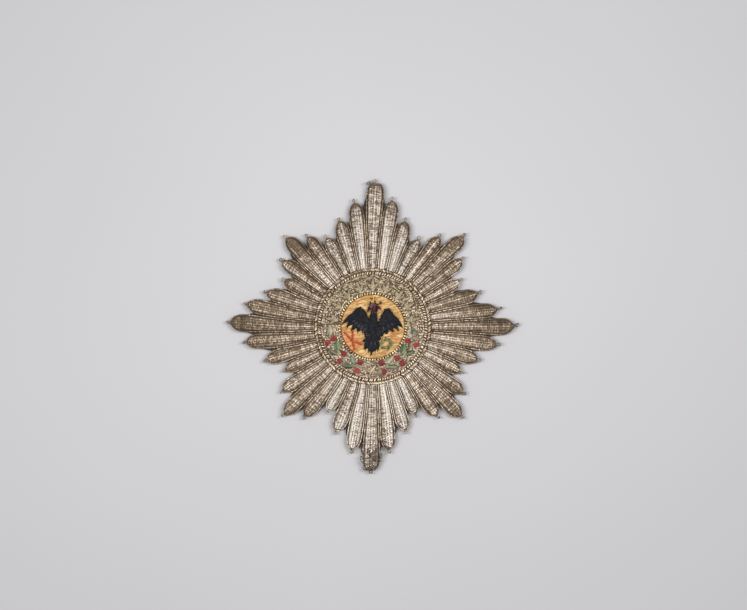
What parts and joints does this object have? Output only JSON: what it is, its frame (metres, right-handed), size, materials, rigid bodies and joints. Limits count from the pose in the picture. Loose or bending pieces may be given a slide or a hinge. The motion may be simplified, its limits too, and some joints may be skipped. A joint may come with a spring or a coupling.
{
  "type": "breast star",
  "caption": "Embroidered breast star with padded silver-thread rays, wire loops at their tips and a round medallion with an eagle, leafy branches and beaded borders.",
  "frame": {"origin": "on the medallion's axis at the flat back face", "axes": "+Z out of the face, +Y to the top ray"},
  "size_m": [0.0914, 0.092, 0.004],
  "materials": {
    "backing_cloth": "dark felted cloth over card",
    "silver_thread": "tarnished silver thread laid over padding",
    "tarnished_wire": "dull gilt wire",
    "yellow_silk": "satin stitch in yellow silk",
    "border_purl": "beaded silver-gilt purl",
    "ring_purl": "short cuts of silver purl",
    "gilt_cord": "twisted gilt cord",
    "black_silk": "padded satin stitch in black silk",
    "gold_purl": "tarnished gold purl",
    "red_silk": "orange-red silk",
    "green_silk": "olive-green silk",
    "leaf_silk": "satin stitch in green silk",
    "berry_silk": "knots of red silk"
  },
  "bodies": {
    "root": {"backing": "backing_cloth", "tip_loops": "tarnished_wire", "medallion_ground": "yellow_silk", "inner_border": "border_purl", "outer_border": "border_purl", "ring_ground": "ring_purl", "gilt_cord": "gilt_cord", "eagle": "black_silk", "crown": "gold_purl", "lightning": "red_silk", "wreath": "green_silk", "branch_left": "leaf_silk", "branch_right": "leaf_silk", "berries": "berry_silk", "branch_tie": "gold_purl", "palmettes": "gold_purl", "ray_00": "silver_thread", "ray_01": "silver_thread", "ray_02": "silver_thread", "ray_03": "silver_thread", "ray_04": "silver_thread", "ray_05": "silver_thread", "ray_06": "silver_thread", "ray_07": "silver_thread", "ray_08": "silver_thread", "ray_09": "silver_thread", "ray_10": "silver_thread", "ray_11": "silver_thread", "ray_12": "silver_thread", "ray_13": "silver_thread", "ray_14": "silver_thread", "ray_15": "silver_thread", "ray_16": "silver_thread", "ray_17": "silver_thread", "ray_18": "silver_thread", "ray_19": "silver_thread", "ray_20": "silver_thread", "ray_21": "silver_thread", "ray_22": "silver_thread", "ray_23": "silver_thread", "ray_24": "silver_thread", "ray_25": "silver_thread", "ray_26": "silver_thread", "ray_27": "silver_thread", "ray_28": "silver_thread", "ray_29": "silver_thread", "ray_30": "silver_thread", "ray_31": "silver_thread", "ray_32": "silver_thread", "ray_33": "silver_thread", "ray_34": "silver_thread", "ray_35": "silver_thread", "ray_36": "silver_thread", "ray_37": "silver_thread", "ray_38": "silver_thread", "ray_39": "silver_thread"}
  },
  "joints": []
}
